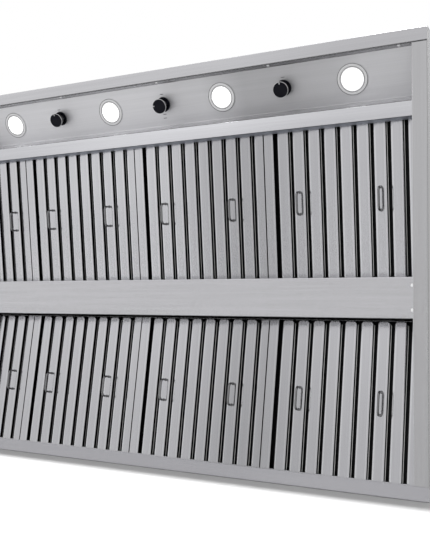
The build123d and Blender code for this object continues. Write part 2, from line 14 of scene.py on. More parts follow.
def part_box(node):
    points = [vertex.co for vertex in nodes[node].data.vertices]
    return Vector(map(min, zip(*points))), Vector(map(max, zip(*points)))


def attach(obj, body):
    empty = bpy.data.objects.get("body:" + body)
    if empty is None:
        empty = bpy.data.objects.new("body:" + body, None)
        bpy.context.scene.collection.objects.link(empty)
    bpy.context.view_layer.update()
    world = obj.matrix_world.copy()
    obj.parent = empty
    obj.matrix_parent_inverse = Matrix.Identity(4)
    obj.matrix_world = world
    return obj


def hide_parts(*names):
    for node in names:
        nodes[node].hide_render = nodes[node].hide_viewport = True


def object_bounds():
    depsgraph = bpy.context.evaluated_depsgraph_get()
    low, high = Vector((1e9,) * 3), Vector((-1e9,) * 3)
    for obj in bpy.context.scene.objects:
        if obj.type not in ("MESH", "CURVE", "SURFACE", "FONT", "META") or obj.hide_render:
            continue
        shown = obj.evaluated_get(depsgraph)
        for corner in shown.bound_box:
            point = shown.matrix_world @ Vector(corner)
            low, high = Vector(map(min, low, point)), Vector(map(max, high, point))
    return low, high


bl_info = {
    "name": "Range Hood Insert",
    "version": (1, 0, 0),
    "blender": (4, 5, 0),
    "location": "View3D > Sidebar > Hood",
    "description": "Builds the looks of a range hood insert round its packed frame",
    "category": "Object",
}

FULL_FILTERS = 3  # in each row, beside one narrow filter
FULL_SLOTS, NARROW_SLOTS = 9, 4

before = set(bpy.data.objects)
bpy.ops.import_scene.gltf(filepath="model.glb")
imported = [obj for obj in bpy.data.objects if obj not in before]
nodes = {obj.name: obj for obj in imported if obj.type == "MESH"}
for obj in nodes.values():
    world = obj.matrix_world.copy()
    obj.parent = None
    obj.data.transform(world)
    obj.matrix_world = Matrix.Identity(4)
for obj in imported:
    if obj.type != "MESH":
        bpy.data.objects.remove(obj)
cad_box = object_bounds()


# ---------------- settings


def amount(name, description, default, **more):
    return bpy.props.FloatProperty(name=name, description=description, default=default, **more)


def length(name, description, default):
    return amount(name, description, default, unit="LENGTH")


def colour(name, description, default):
    return bpy.props.FloatVectorProperty(
        name=name, description=description, default=default, subtype="COLOR", size=3, min=0, max=1
    )


class HoodStageSettings(bpy.types.PropertyGroup):
    camera_place: bpy.props.FloatVectorProperty(
        name="Camera place", description="Where the camera stands", subtype="TRANSLATION",
        default=(0.86498, 0.04259, -1.3962),
    )
    camera_turn: amount("Camera turn", "How far the camera looks to the hood's left of straight up",
                        radians(27.252), subtype="ANGLE")
    camera_roll: amount("Camera roll", "Roll of the camera", radians(-0.288), subtype="ANGLE")
    lens: amount("Lens", "Focal length for a 36 mm sensor, in mm", 49.645)
    shift: amount("Shift", "Vertical shift of the lens", 0.03667)
    world_level: amount("World level", "Brightness of the surroundings", 0.93, min=0)
    floor: colour("Floor", "Colour of the floor and the backdrop", (0.44, 0.44, 0.442))


class HoodSteelSettings(bpy.types.PropertyGroup):
    # The casing steel is the sheets' own tone; the rear, side and panel steel are darker as painted shade and
    # the rail steel lighter as painted light.
    casing: colour("Casing steel", "Brushed steel of the casing", (0.515, 0.513, 0.532))
    rear: colour("Rear steel", "Brushed steel of the rear wall and its strip", (0.405, 0.403, 0.425))
    side: colour("Side steel", "Brushed steel of the side walls and their strips", (0.445, 0.444, 0.455))
    # the side strips' hems: the side steel painted brighter, as a highlight
    edge: colour("Edge steel", "Steel of the side strips' hems", (0.54, 0.54, 0.555))
    rail: colour("Rail steel", "Brushed steel of the front rail", (0.64, 0.64, 0.668))
    # the front rail's rear wall, painted dark and bluish as shade and as a reflection of the slats
    rail_wall: colour("Rail wall steel", "Steel of the front rail's rear wall", (0.40, 0.42, 0.475))
    panel: colour("Panel steel", "Brushed steel of the control panel", (0.475, 0.474, 0.488))
    slat: colour("Slat steel", "Satin steel of the filters' slats", (0.50, 0.499, 0.520))
    # the slats' sloping edges: the slat steel painted brighter, as a highlight
    bend: colour("Bend steel", "Steel of the slats' sloping edges", (0.58, 0.579, 0.60))
    # the hems inside the slots: painted lighter than the slat steel as light, and darker towards the left as
    # shade
    hem: colour("Hem steel", "Steel of the hems inside the slots", (0.66, 0.66, 0.66))
    # the baffles, the slats' legs and insides: painted near-black as the shade inside the filters
    baffle: colour("Baffle steel", "Dull steel deep inside the filters", (0.016, 0.016, 0.017))
    wire: colour("Handle wire", "Polished wire of the handles", (0.20, 0.20, 0.205))
    galvanised: colour("Galvanised", "Zinc-coated sheet of ducts and blowers", (0.52, 0.54, 0.56))


class HoodFilterSettings(bpy.types.PropertyGroup):
    length: length("Length", "Filter from its outer to its inner end", 0.322)
    depth: length("Depth", "Filter from front to rear", 0.022)
    sheet: length("Sheet", "Thickness of the sheet", 0.0008)
    slot: length("Slot", "Slot between two slats", 0.0102)
    slat: length("Slat", "Width of a slat", 0.02355)
    slat_depth: length("Slat depth", "Depth of a slat's legs", 0.010)
    slat_bend: length("Slat bend", "Width of a slat's sloping edges", 0.0036)
    slat_slope: length("Slat slope", "Rise of a slat's sloping edges", 0.0013)
    slat_hem: length("Slat hem", "Hem turned out at the end of each leg", 0.0013)
    slat_end: length("Slat end", "Slat's inner end short of the end cap", 0.0066)
    mitre: length("Mitre", "Width of the mitre at a slat's inner corners", 0.0036)
    notch: length("Notch", "Length of the mitre at a slat's inner corners", 0.0042)
    front_flange: length("Front flange", "Front filters' outer end cap, its front flange", 0.0100)
    rear_flange: length("Rear flange", "Rear filters' outer end cap, its front flange", 0.008)
    inner_flange: length("Inner flange", "End cap's front flange at the inner end", 0.0030)
    rail_flange: length("Rail flange", "Side rail's rear flange", 0.008)
    baffle_reach: length("Baffle reach", "Rear baffle past its slot", 0.006)
    baffle_foot: length("Baffle foot", "Height of a rear baffle's feet", 0.006)
    edge_margin: length("Edge margin", "Filter's side to its first slot", 0.0207)


class HoodHandleSettings(bpy.types.PropertyGroup):
    radius: length("Wire radius", "Radius of the handle's wire", 0.0024)
    length: length("Length", "Handle from end to end", 0.050)
    drop: length("Drop", "Slat to the middle of the grip", 0.018)
    bend: length("Bend", "Radius of the wire's bends", 0.009)
    place: length("Place", "Handle's middle from the filter's outer end", 0.156)


class HoodFittingSettings(bpy.types.PropertyGroup):
    bezel: length("Bezel", "Radius of a light's ring", 0.0322)
    bezel_proud: length("Bezel proud", "Ring in front of the panel", 0.0008)
    can: length("Can", "Radius of a light's body", 0.028)
    can_height: length("Can height", "Height of a light's body", 0.042)
    lens: length("Lens", "Radius of a light's lens", 0.0224)
    light_down: length("Light down", "Lights' place down the panel from the knobs' line", 0.0018)
    glow: amount("Glow", "Strength of a light", 9.0, min=0)
    knob_face: length("Knob face", "Radius of a knob's face", 0.0155)
    knob_base: length("Knob base", "Radius of a knob's foot", 0.0165)
    knob_ring: length("Knob ring", "Radius of a knob's bright ring", 0.017)
    knob_height: length("Knob height", "Height of a knob", 0.023)
    knob_gap: length("Knob gap", "Knob to panel", 0.0008)
    screw: length("Screw head", "Radius of a screw's head", 0.0032)
    screw_height: length("Screw height", "Height of a screw's head", 0.0015)


# ---------------- shader tools


class Value:
    """A shader socket that can be used in Python expressions."""

    def __init__(self, finish, socket):
        self.finish = finish
        self.socket = socket

    def math(self, operation, *others):
        return self.finish.math(operation, self, *others)

    def __add__(self, other):
        return self.math("ADD", other)

    def __sub__(self, other):
        return self.math("SUBTRACT", other)

    def __mul__(self, other):
        return self.math("MULTIPLY", other)

    def __radd__(self, other):
        return self.finish.math("ADD", other, self)

    def __rsub__(self, other):
        return self.finish.math("SUBTRACT", other, self)

    def __rmul__(self, other):
        return self.finish.math("MULTIPLY", other, self)

    def above(self, edge, width):
        """0 up to the edge and 1 a width past it, downwards where the width is below 0."""
        return ((self - edge) * (1 / width)).math("MAXIMUM", 0.0).math("MINIMUM", 1.0)


class Finish:
    """A node tree under construction, of a material or a world."""

    def __init__(self, tree):
        self.tree = tree
        tree.nodes.clear()

    def node(self, kind, settings=None, **inputs):
        """Add a node: its settings first, then the values or links of its sockets."""
        made = self.tree.nodes.new(kind)
        for key, setting in (settings or {}).items():
            setattr(made, key, setting)
        for key, given in inputs.items():
            index = int(key[1:]) if key[0] == "i" and key[1:].isdigit() else key.replace("_", " ")
            if isinstance(given, Value):
                self.tree.links.new(given.socket, made.inputs[index])
            else:
                made.inputs[index].default_value = given
        return made

    def out(self, made, name=0):
        return Value(self, made.outputs[name])

    def math(self, operation, *given):
        inputs = {f"i{i}": entry for i, entry in enumerate(given)}
        return self.out(self.node("ShaderNodeMath", {"operation": operation}, **inputs))

    def coordinates(self, kind="Object"):
        return self.out(self.node("ShaderNodeTexCoord"), kind)

    def place(self, scale=(1.0, 1.0, 1.0)):
        """Object coordinates, stretched."""
        return self.out(self.node("ShaderNodeMapping", Vector=self.coordinates(), Scale=scale))

    def split(self, vector):
        """A vector's X, Y and Z."""
        parts = self.node("ShaderNodeSeparateXYZ", Vector=vector)
        return [self.out(parts, i) for i in range(3)]

    def noise(self, scale, detail=2.0, roughness=0.5, stretch=(1.0, 1.0, 1.0)):
        made = self.node("ShaderNodeTexNoise", Vector=self.place(stretch), Scale=scale, Detail=detail,
                         Roughness=roughness)
        return self.out(made, "Fac")

    def bump(self, height, strength, distance, normal=None):
        inputs = {"Height": height, "Strength": strength, "Distance": distance}
        if normal:
            inputs["Normal"] = normal
        return self.out(self.node("ShaderNodeBump", **inputs))

    def tinted(self, level, tone):
        """A tone, made lighter or darker by a level."""
        red, green, blue = (level * part for part in tone)
        return self.out(self.node("ShaderNodeCombineColor", {"mode": "RGB"}, Red=red, Green=green, Blue=blue))

    def surface(self, **inputs):
        """End a material in one Principled shader."""
        shader = self.out(self.node("ShaderNodeBsdfPrincipled", **inputs))
        self.node("ShaderNodeOutputMaterial", Surface=shader)


def material(name):
    made = bpy.data.materials.new(name)
    made.use_nodes = True
    return made, Finish(made.node_tree)


# ---------------- finishes

X, Y, Z = range(3)  # axes by number
FINE_ACROSS, FINE_ALONG = 520.0, 5.0  # noise in a metre across the brush lines and along them
BROAD_ACROSS, BROAD_ALONG = 90.0, 1.6


def brushed_steel(name, tone, axis, roughness=0.24, grain=1.0, cloud=0.05, zones=()):
    """Brushed steel whose lines run along one axis.

    A zone paints light or shade: (factor on the tone, change of roughness, *tests), each test (axis, edge,
    width): past the edge where the width is above 0, and before it where the width is below 0.
    """
    made, finish = material(name)
    across = (Y, Z) if axis == X else (X,)
    fine = tuple(FINE_ACROSS if way in across else FINE_ALONG for way in range(3))
    broad = tuple(BROAD_ACROSS if way in across else BROAD_ALONG for way in range(3))
    lines = finish.noise(1.0, 3.0, 0.6, fine)
    streaks = finish.noise(1.0, stretch=broad)
    clouds = finish.noise(7.0)
    level = 1.0 + (lines - 0.5) * (0.16 * grain) + (streaks - 0.5) * (0.12 * grain) + (clouds - 0.5) * cloud
    rough = roughness + (lines - 0.5) * 0.10 + (clouds - 0.5) * 0.08
    position = finish.split(finish.coordinates()) if zones else None
    # each zone paints light or shade onto the tone
    for factor, change, *tests in zones:
        inside = 1.0
        for way, edge, width in tests:
            inside = position[way].above(edge, width) * inside
        level = level * (1.0 + inside * (factor - 1.0))
        if change:
            rough = rough + inside * change
    waves = finish.bump(clouds, 0.12, 0.002)
    scratches = finish.bump(lines, 0.10 * grain, 0.0001, waves)
    finish.surface(Base_Color=finish.tinted(level, tone), Metallic=1.0, Roughness=rough, Normal=scratches)
    return made


def smooth_metal(name, tone, roughness):
    """Polished or plated metal with faint smudges."""
    made, finish = material(name)
    smudges = finish.noise(90.0, 3.0)
    clouds = finish.noise(14.0)
    level = 1.0 + (smudges - 0.5) * 0.1 + (clouds - 0.5) * 0.1
    finish.surface(Base_Color=finish.tinted(level, tone), Metallic=1.0,
                   Roughness=roughness + (smudges - 0.5) * 0.1, Normal=finish.bump(smudges, 0.06, 0.0003))
    return made


def galvanised_sheet(name, tone):
    """Zinc-coated sheet with its spangle."""
    made, finish = material(name)
    crystals = finish.node("ShaderNodeTexVoronoi", {"feature": "F1"}, Vector=finish.place(), Scale=110.0,
                           Randomness=1.0)
    parts = finish.node("ShaderNodeSeparateColor", {"mode": "RGB"}, Color=finish.out(crystals, "Color"))
    spangle = finish.out(parts, "Red")
    haze = finish.noise(12.0, 3.0)
    level = 0.86 + spangle * 0.26 + (haze - 0.5) * 0.16
    rough = 0.36 + spangle * 0.12 + (haze - 0.5) * 0.1
    finish.surface(Base_Color=finish.tinted(level, tone), Metallic=1.0, Roughness=rough,
                   Normal=finish.bump(haze, 0.1, 0.001))
    return made


def moulded(name, tone, roughness, sheen=0.5):
    """Moulded plastic or paint with a fine grain."""
    made, finish = material(name)
    grain = finish.noise(1800.0)
    wear = finish.noise(60.0, 3.0)
    finish.surface(Base_Color=finish.tinted(0.85 + wear * 0.3, tone), Specular_IOR_Level=sheen,
                   Roughness=roughness + (wear - 0.5) * 0.12, Normal=finish.bump(grain, 0.15, 0.0002))
    return made


def lit_lens(name, glow):
    """Frosted lens, lit from behind."""
    made, finish = material(name)
    frost = finish.noise(900.0)
    shade = finish.tinted(0.96 + (frost - 0.5) * 0.04, (1.0, 1.0, 0.99))
    finish.surface(Base_Color=shade, Roughness=0.35 + (frost - 0.5) * 0.2, Emission_Color=shade,
                   Emission_Strength=glow)
    return made


# Painted light and shade: where each sheet is painted lighter or darker for how light falls on it. The
# panel's last four zones are its lowest edge, painted dark as shade, its upright face, painted darker, and,
# twice, its sloping face, painted lighter as a highlight and darker again to the left.
# the front wall painted darker at its fold by the panel and towards the right: painted shade
FRONT_SHADE_ZONES = ((0.45, 0, (Y, -0.4167, 0.0006), (Z, 0.02, -0.002)), (0.90, 0, (X, 0.20, 0.25)))
# the rear strip painted lighter towards the right: painted light
REAR_LIGHT_ZONES = ((1.08, 0, (X, 0.20, 0.15)),)
# the hems painted darker towards the left: painted shade
HEM_SHADE_ZONES = ((0.3, 0, (X, -0.10, -0.14)),)
PANEL_LIGHT_AND_SHADE_ZONES = (
    (1.30, 0, (X, 0.20, -0.10)),
    (1.10, 0, (X, 0.04, -0.06)),
    (1.12, 0, (X, 0.25, 0.15)),
    (1.14, 0, (X, 0.40, 0.06)),
    (0.35, 0, (Z, 0.0020, -0.0003)),
    (0.64, -0.34, (Y, -0.4128, -0.0006)),
    (1.12, -0.34, (Y, -0.3276, 0.0006)),
    (0.92, 0, (Y, -0.3276, 0.0006), (X, 0.12, -0.10)),
)
# the rail painted darker towards both ends, lightest in the middle: painted shade
RAIL_SHADE_ZONES = ((0.85, 0, (X, -0.10, -0.30)), (0.86, 0, (X, 0.15, 0.25)))
# the rail's rear wall painted darkest at its foot: painted shadow
WALL_SHADOW_ZONES = ((0.25, 0, (Z, 0.0050, -0.001)),)
# the slats painted darker right of the middle and towards the rear, lighter at the front left and middle:
# painted light and shade
SLAT_LIGHT_AND_SHADE_ZONES = (
    (0.78, 0, (X, 0.02, 0.16), (X, 0.44, -0.20)),
    (1.06, 0, (X, 0.10, -0.10), (Y, 0.05, -0.05)),
    (1.07, 0, (X, -0.36, 0.08), (X, 0.04, -0.08), (Y, -0.10, -0.10)),
    (0.96, 0, (Y, 0.06, 0.02)),
    (0.91, 0, (Y, 0.15, 0.20)),
)
# the beam's rear ledge painted near-black: painted shade
BEAM_SHADE_ZONES = ((0.03, 0, (Z, 0.030, 0.004), (Y, 0.1094, -0.0006), (Y, 0.09, 0.002)),)


def all_finishes(scene):
    """The finishes of every visible surface, by name."""
    steel = scene.hood_steel
    fittings = scene.hood_fittings
    return {
        "front": brushed_steel("brushed front steel", steel.casing, X, zones=FRONT_SHADE_ZONES),
        "lid": brushed_steel("brushed lid steel", steel.casing, X),
        "rear": brushed_steel("brushed rear steel", steel.rear, X, zones=REAR_LIGHT_ZONES),
        "side": brushed_steel("brushed side steel", steel.side, Y),
        "side_edge": brushed_steel("bright edge steel", steel.edge, Y, 0.2, 0.3),
        "panel": brushed_steel("brushed panel steel", steel.panel, X, 0.52, zones=PANEL_LIGHT_AND_SHADE_ZONES),
        "rail": brushed_steel("bright rail steel", steel.rail, X, 0.22, zones=RAIL_SHADE_ZONES),
        "rail_wall": brushed_steel("shaded rail steel", steel.rail_wall, X, 0.60, 0.5, zones=WALL_SHADOW_ZONES),
        "beam": brushed_steel("brushed beam steel", steel.casing, X, zones=BEAM_SHADE_ZONES),
        "slat": brushed_steel("satin slat steel", steel.slat, Y, 0.16, 0.7, 0.03, SLAT_LIGHT_AND_SHADE_ZONES),
        "bend": brushed_steel("bright bend steel", steel.bend, Y, 0.22, 0.5, 0.03, SLAT_LIGHT_AND_SHADE_ZONES),
        "hem": brushed_steel("hem steel", steel.hem, Y, 0.3, 0.35, zones=HEM_SHADE_ZONES),
        "baffle": brushed_steel("dull baffle steel", steel.baffle, Y, 0.5, 0.5),
        "wire": smooth_metal("polished handle wire", steel.wire, 0.05),
        "screw": smooth_metal("bright screw steel", (0.92, 0.92, 0.93), 0.3),
        "nickel": smooth_metal("satin nickel ring", (0.69, 0.69, 0.70), 0.30),
        "galvanised": galvanised_sheet("galvanised sheet", steel.galvanised),
        "groove": moulded("dark groove", (0.09, 0.09, 0.095), 0.6),
        "motor": moulded("black motor paint", (0.030, 0.031, 0.034), 0.42),
        "switch": moulded("dark switch plastic", (0.05, 0.05, 0.055), 0.5),
        "knob": moulded("black knob plastic", (0.003, 0.003, 0.007), 0.30, sheen=0.12),
        "knob_side": moulded("glossy knob plastic", (0.002, 0.002, 0.003), 0.16, sheen=0.4),
        "print": moulded("grey print", (0.17, 0.17, 0.18), 0.5),
        "lens": lit_lens("lit lens", fittings.glow),
        "lens_rim": lit_lens("lens rim", 0.88),
    }


def paint(piece, *finishes):
    """Give a piece or a CAD node its finishes; faces take them by number."""
    numbers = [face.material_index for face in piece.data.polygons]
    piece.data.materials.clear()
    for finish in finishes:
        piece.data.materials.append(finish)
    piece.data.polygons.foreach_set("material_index", numbers)


# ---------------- bench tools


def lay_down():
    """Leave edit mode and deselect everything."""
    if bpy.context.object and bpy.context.object.mode != "OBJECT":
        bpy.ops.object.mode_set(mode="OBJECT")
    bpy.ops.object.select_all(action="DESELECT")


def take(piece):
    """Make one piece the selected and active one."""
    lay_down()
    piece.select_set(True)
    bpy.context.view_layer.objects.active = piece


def started(name):
    """Name the primitive that was just added, put its place in its mesh and go to edit mode."""
    piece = bpy.context.object
    piece.name = name
    piece.data.name = name
    bpy.ops.object.transform_apply(location=True, rotation=True, scale=True)
    bpy.ops.object.mode_set(mode="EDIT")
    return piece


def disc(name, radius, height, middle, sides=96):
    """Start a round piece, in edit mode."""
    lay_down()
    bpy.ops.mesh.primitive_cylinder_add(vertices=sides, radius=radius, depth=height, location=middle)
    return started(name)


def block(name, size, middle=(0, 0, 0), turn=0):
    """Start a square piece, in edit mode."""
    lay_down()
    bpy.ops.mesh.primitive_cube_add(size=1, location=middle, rotation=(0, 0, turn))
    bpy.context.object.scale = size
    return started(name)


def pick(piece, kind, test):
    """In edit mode, select only the faces, edges or verts that pass a test."""
    bpy.ops.mesh.select_mode(type={"verts": "VERT", "edges": "EDGE", "faces": "FACE"}[kind])
    bpy.ops.mesh.select_all(action="DESELECT")
    mesh = bmesh.from_edit_mesh(piece.data)
    for part in getattr(mesh, kind):
        if test(part):
            part.select_set(True)
    mesh.select_flush_mode()
    bmesh.update_edit_mesh(piece.data)


def edge_middle(edge):
    return (edge.verts[0].co + edge.verts[1].co) / 2


def runs_along(edge, axis):
    line = edge.verts[1].co - edge.verts[0].co
    return abs(line[axis]) > 0.99 * line.length


def faces_room(face):
    """Towards -Z, as the front of a light, a knob or a screw does."""
    return face.normal.z < -0.9


def faces_casing(face):
    return face.normal.z > 0.9


def extrude_by(offset):
    bpy.ops.mesh.extrude_region_move(TRANSFORM_OT_translate={"value": offset})


def inset_steps(steps):
    """Inset the picked faces again and again, each time by a width and a height."""
    for width, height in steps:
        bpy.ops.mesh.inset(thickness=width, depth=height)


def bevel_picked(width, segments=2):
    bpy.ops.mesh.bevel(offset=width, segments=segments, affect="EDGES")


def modify(piece, kind, **settings):
    """Give a piece a modifier and apply it."""
    take(piece)
    modifier = piece.modifiers.new(kind.lower(), kind)
    for key, setting in settings.items():
        setattr(modifier, key, setting)
    bpy.ops.object.modifier_apply(modifier=modifier.name)


def soften(piece, width, segments=2):
    """Round a piece's sharp edges."""
    modify(piece, "BEVEL", width=width, segments=segments, limit_method="ANGLE", angle_limit=radians(50))


def smooth(piece, angle=35):
    """Shade a piece smooth, but for its edges sharper than an angle."""
    take(piece)
    bpy.ops.object.shade_smooth_by_angle(angle=radians(angle))


def outwards(piece):
    """Merge a closed piece's doubles and turn its faces outwards."""
    take(piece)
    bpy.ops.object.mode_set(mode="EDIT")
    bpy.ops.mesh.select_all(action="SELECT")
    bpy.ops.mesh.remove_doubles(threshold=1e-6)
    bpy.ops.mesh.normals_make_consistent(inside=False)
    bpy.ops.object.mode_set(mode="OBJECT")


def copy_at(piece, name, matrix):
    """A copy with its own mesh, its place in the mesh."""
    made = piece.copy()
    made.data = piece.data.copy()
    made.name = name
    made.data.name = name
    made.data.transform(matrix)
    bpy.context.scene.collection.objects.link(made)
    return made


def joined(pieces, name):
    """Join pieces into the first of them."""
    take(pieces[0])
    for piece in pieces[1:]:
        piece.select_set(True)
    if len(pieces) > 1:
        bpy.ops.object.join()
    pieces[0].name = name
    pieces[0].data.name = name
    return pieces[0]


def discard(piece):
    bpy.data.objects.remove(piece, do_unlink=True)


def folded_sheet(name, path, run, thickness, bends, segments=5):
    """Fold a sheet by hand: one edge extruded along a path in X and Z, then its corners rounded.

    The sheet runs along Y. bends gives the radius at each inner corner of the path.
    """
    lay_down()
    first = path[0]
    bpy.ops.mesh.primitive_plane_add(size=run, location=(first[0] + run / 2, run / 2, first[1]))
    piece = started(name)
    pick(piece, "verts", lambda vert: vert.co.x > first[0] + run / 2)
    bpy.ops.mesh.delete(type="VERT")
    bpy.ops.mesh.select_mode(type="EDGE")
    bpy.ops.mesh.select_all(action="SELECT")
    for here, there in zip(path, path[1:]):
        extrude_by((there[0] - here[0], 0, there[1] - here[1]))
    for corner, radius in zip(path[1:-1], bends):
        place = Vector((corner[0], run / 2, corner[1]))
        pick(piece, "edges", lambda edge: runs_along(edge, 1) and (edge_middle(edge) - place).length < 1e-5)
        bpy.ops.mesh.bevel(offset=radius, offset_type="OFFSET", segments=segments, profile=0.5,
                           affect="EDGES", clamp_overlap=False)
    modify(piece, "SOLIDIFY", thickness=thickness, offset=-1, use_even_offset=True)
    outwards(piece)
    return piece


def place_on(origin, x_way, y_way):
    """The matrix of a plane with its own X and Y."""
    x_way = Vector(x_way).normalized()
    y_way = Vector(y_way).normalized()
    z_way = x_way.cross(y_way)
    made = Matrix((x_way, y_way, z_way)).transposed().to_4x4()
    made.translation = Vector(origin)
    return made


# ---------------- where things are

PANEL_TILT = radians(25.0)
PANEL_Y, PANEL_Z = -0.372462, 0.035672  # the panel's face on the line of its lights and knobs
FRONT_TILT, REAR_TILT = radians(4.65), radians(10.95)
ROWS = {  # a row's own axes: X across its filters, Y from their outer to their inner ends
    "front": place_on((0, -0.28779, 0.0294), (1, 0, 0), (0, cos(FRONT_TILT), sin(FRONT_TILT))),
    "rear": place_on((0, 0.42019, 0.0015), (-1, 0, 0), (0, -cos(REAR_TILT), sin(REAR_TILT))),
}
SLOTS_ASIDE = {("rear", 3): 0.0017}  # a filter's slots, moved sideways
GRIPS_INWARD = {  # each filter's handles, moved towards its inner end
    "front": (0.0035, 0.0043, 0.0065, 0.0008),
    "rear": (-0.0035, -0.0042, -0.0030, -0.0020),
}


def on_panel(point):
    """The panel's plane at a point: Z points up into the casing, as in the CAD."""
    return place_on(point, (1, 0, 0), (0, cos(PANEL_TILT), sin(PANEL_TILT)))


def fixture_plane(node):
    """The panel's plane at a light or a knob."""
    low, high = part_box(node)
    return on_panel(((low.x + high.x) / 2, PANEL_Y, PANEL_Z))


def filter_layout(row, number, settings):
    """Ends, slot centres, slats and handle slats of a filter, in its row's own X."""
    low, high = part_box(f"{row}_filter_{number}_frame")
    flip = 1 if row == "front" else -1
    ends = sorted((low.x * flip, high.x * flip))
    pitch = settings.slot + settings.slat
    count = NARROW_SLOTS if number == 1 else FULL_SLOTS
    aside = SLOTS_ASIDE.get((row, number), 0.0)
    first = flip * (high.x - settings.edge_margin - settings.slot / 2 + aside)
    slots = [first - flip * i * pitch for i in range(count)]
    slats = [middle - flip * pitch / 2 for middle in slots[:-1]]
    grips = [slats[0], slats[-1]] if number == 1 else [slats[1], slats[-2]]
    return ends, sorted(slots), slats, grips


# ---------------- filters

LEG_SHADE_FACES, HEM_FACES, BEND_HIGHLIGHT_FACES = 1, 2, 3  # 0 is the front; the legs and inside are painted near-black as shade and the sloping edges bright as a highlight
FILTER_STEEL = ("slat", "baffle", "hem", "bend")  # finishes by those numbers
LEG_FOLD, FRONT_FOLD, RAIL_FOLD, CAP_FOLD, CHANNEL_FOLD = 0.0006, 0.0008, 0.0014, 0.0012, 0.003
RAIL_WALL_SHADE_BAND = 0.0008  # depth of the band at a side rail's wall that is painted near-black as shade, as its legs are


def number_faces(piece, settings):
    """Number a slat's or side rail's faces: its front, legs and inside, hems and sloping edges."""
    legs = settings.sheet + settings.slat_slope + 0.0006
    hems = settings.sheet + settings.slat_depth * 0.8
    past_hems = settings.slat_depth + 0.002
    for face in piece.data.polygons:
        if hems < face.center.z < past_hems and face.normal.z < -0.7:
            face.material_index = HEM_FACES
        elif face.center.z > legs:
            face.material_index = LEG_SHADE_FACES
        elif abs(face.normal.x) > 0.12 and face.normal.z < -0.2:
            face.material_index = BEND_HIGHLIGHT_FACES


def make_slat(settings):
    """A front slat: sloping edges, legs with hems, and mitred corners at its inner end."""
    half = settings.slat / 2
    low = settings.sheet
    edge = low + settings.slat_slope
    high = low + settings.slat_depth
    hem = settings.slat_hem
    flat = half - settings.slat_bend
    path = [(-half - hem, high), (-half, high), (-half, edge), (-flat, low), (flat, low), (half, edge),
            (half, high), (half + hem, high)]
    run = settings.length - 2 * settings.sheet - settings.slat_end
    folds = (LEG_FOLD, LEG_FOLD, FRONT_FOLD, FRONT_FOLD, LEG_FOLD, LEG_FOLD)
    piece = folded_sheet("slat", path, run, settings.sheet, folds, 3)
    take(piece)
    bpy.ops.object.mode_set(mode="EDIT")
    for side in (-1, 1):
        bpy.ops.mesh.select_all(action="SELECT")
        corner = (side * (half - settings.mitre), run, 0)
        normal = Vector((side * settings.notch, settings.mitre, 0)).normalized()
        bpy.ops.mesh.bisect(plane_co=corner, plane_no=normal, clear_outer=True, use_fill=True)
    outwards(piece)
    smooth(piece)
    number_faces(piece, settings)
    return piece


def make_baffle(settings):
    """A rear baffle: a channel over one slot, open to the room."""
    half = settings.slot / 2 + settings.baffle_reach
    high = settings.depth - settings.sheet
    path = [(half, settings.baffle_foot), (half, high), (-half, high), (-half, settings.baffle_foot)]
    run = settings.length - 2 * settings.sheet
    piece = folded_sheet("baffle", path, run, settings.sheet, (CHANNEL_FOLD, CHANNEL_FOLD))
    smooth(piece)
    return piece


def make_side_rail(settings, margin):
    """A filter's side rail, its slot edge at X = 0 and its wall at X = margin."""
    low = settings.sheet
    high = settings.depth - settings.sheet
    path = [(0, low + settings.slat_depth), (0, low + settings.slat_slope), (settings.slat_bend, low),
            (margin, low), (margin, high), (margin - settings.rail_flange, high)]
    run = settings.length - 2 * settings.sheet
    folds = (LEG_FOLD, FRONT_FOLD, RAIL_FOLD, CAP_FOLD)
    piece = folded_sheet("side_rail", path, run, settings.sheet, folds, 4)
    smooth(piece)
    number_faces(piece, settings)
    for face in piece.data.polygons:
        if face.center.x > margin - RAIL_WALL_SHADE_BAND:
            face.material_index = LEG_SHADE_FACES
    return piece


def make_end_cap(settings, run, flange):
    """An end cap: a channel across the filter, its wall at X = 0, turned to run along X later."""
    path = [(flange, 0), (0, 0), (0, settings.depth), (settings.rail_flange, settings.depth)]
    piece = folded_sheet("end_cap", path, run, settings.sheet, (CAP_FOLD, CAP_FOLD), 4)
    smooth(piece)
    return piece


def build_filter(row, number, settings, finishes, slat, baffle):
    """Slats, baffles and frame of one filter, in place of its CAD nodes."""
    name = f"{row}_filter_{number}"
    (start, end), slots, slats, _ = filter_layout(row, number, settings)
    matrix = ROWS[row]
    shift = Matrix.Translation((0, settings.sheet, 0))

    def row_of(piece, places, title):
        copies = [copy_at(piece, "copy", matrix @ Matrix.Translation((x, 0, 0)) @ shift) for x in places]
        return joined(copies, title)

    fronts = row_of(slat, slats, f"{name}_slats")
    backs = row_of(baffle, slots, f"{name}_channels")
    steel = [finishes[key] for key in FILTER_STEEL]
    left, right = slots[0] - settings.slot / 2, slots[-1] + settings.slot / 2
    turned = Matrix.Translation((left, settings.length, 0)) @ Matrix.Rotation(pi, 4, "Z")
    frame_parts = []
    for margin, place in ((left - start, turned), (end - right, Matrix.Translation((right, 0, 0)))):
        rail = make_side_rail(settings, margin)
        rail.data.transform(matrix @ place @ shift)
        paint(rail, *steel)
        frame_parts.append(rail)
    outer_flange = settings.front_flange if row == "front" else settings.rear_flange
    outer = Matrix.Translation((end, 0, 0)) @ Matrix.Rotation(pi / 2, 4, "Z")
    inner = Matrix.Translation((start, settings.length, 0)) @ Matrix.Rotation(-pi / 2, 4, "Z")
    for flange, place in ((outer_flange, outer), (settings.inner_flange, inner)):
        cap = make_end_cap(settings, end - start, flange)
        cap.data.transform(matrix @ place)
        paint(cap, steel[0])
        frame_parts.append(cap)
    border = joined(frame_parts, f"{name}_border")
    for piece in (fronts, backs, border):
        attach(piece, name)
    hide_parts(f"{name}_baffles")
    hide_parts(f"{name}_frame")


